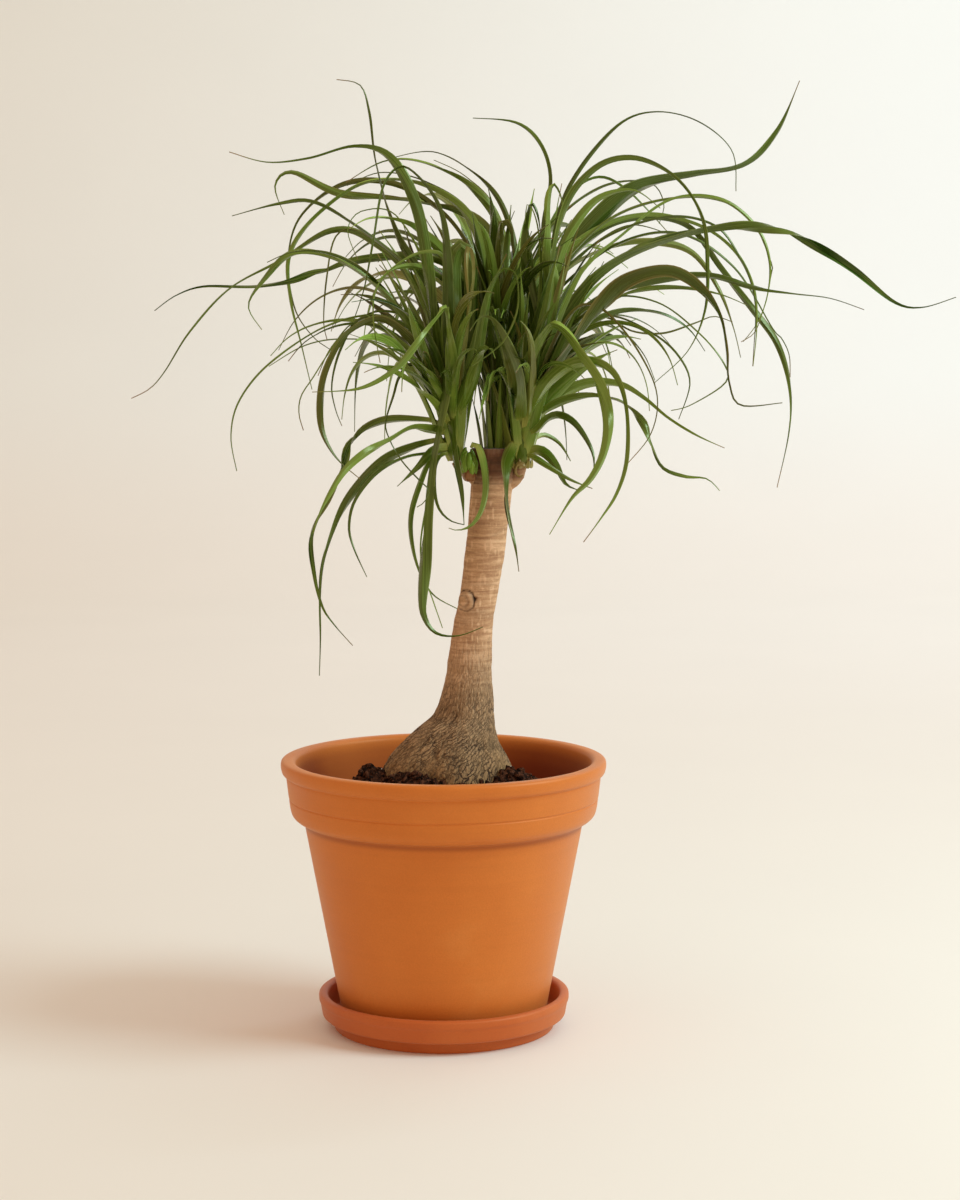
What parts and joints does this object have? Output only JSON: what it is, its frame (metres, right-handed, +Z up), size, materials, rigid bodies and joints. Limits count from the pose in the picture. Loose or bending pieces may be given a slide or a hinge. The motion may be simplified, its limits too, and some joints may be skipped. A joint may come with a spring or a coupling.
{
  "type": "potted ponytail palm",
  "caption": "Ponytail palm with arching strap leaves on a sawn, swollen trunk, in soil in a terracotta pot on a saucer.",
  "frame": {"origin": "middle of the saucer's flat underside, on the floor", "axes": "+Z up along the pot's axis; -Y towards the viewer; +X to the viewer's right"},
  "size_m": [0.741, 0.4837, 0.8775],
  "materials": {
    "saucer_clay": "unglazed terracotta, thrown in a mould, matt",
    "pot_clay": "unglazed terracotta with pale lime bloom, matt",
    "soil": "dark crumbly potting soil with bark and pale grains",
    "bark": "ringed bark above, cracked grey bark on the swollen foot, sawn top",
    "leaf": "leathery strap leaf with fine parallel veins, satin",
    "young_leaf": "pale young leaf, satin"
  },
  "bodies": {
    "root": {"saucer": "saucer_clay", "pot": "pot_clay", "soil": "soil", "trunk": "bark", "head_left": "leaf", "head_right": "leaf", "head_back": "leaf", "bud": "young_leaf"}
  },
  "joints": []
}
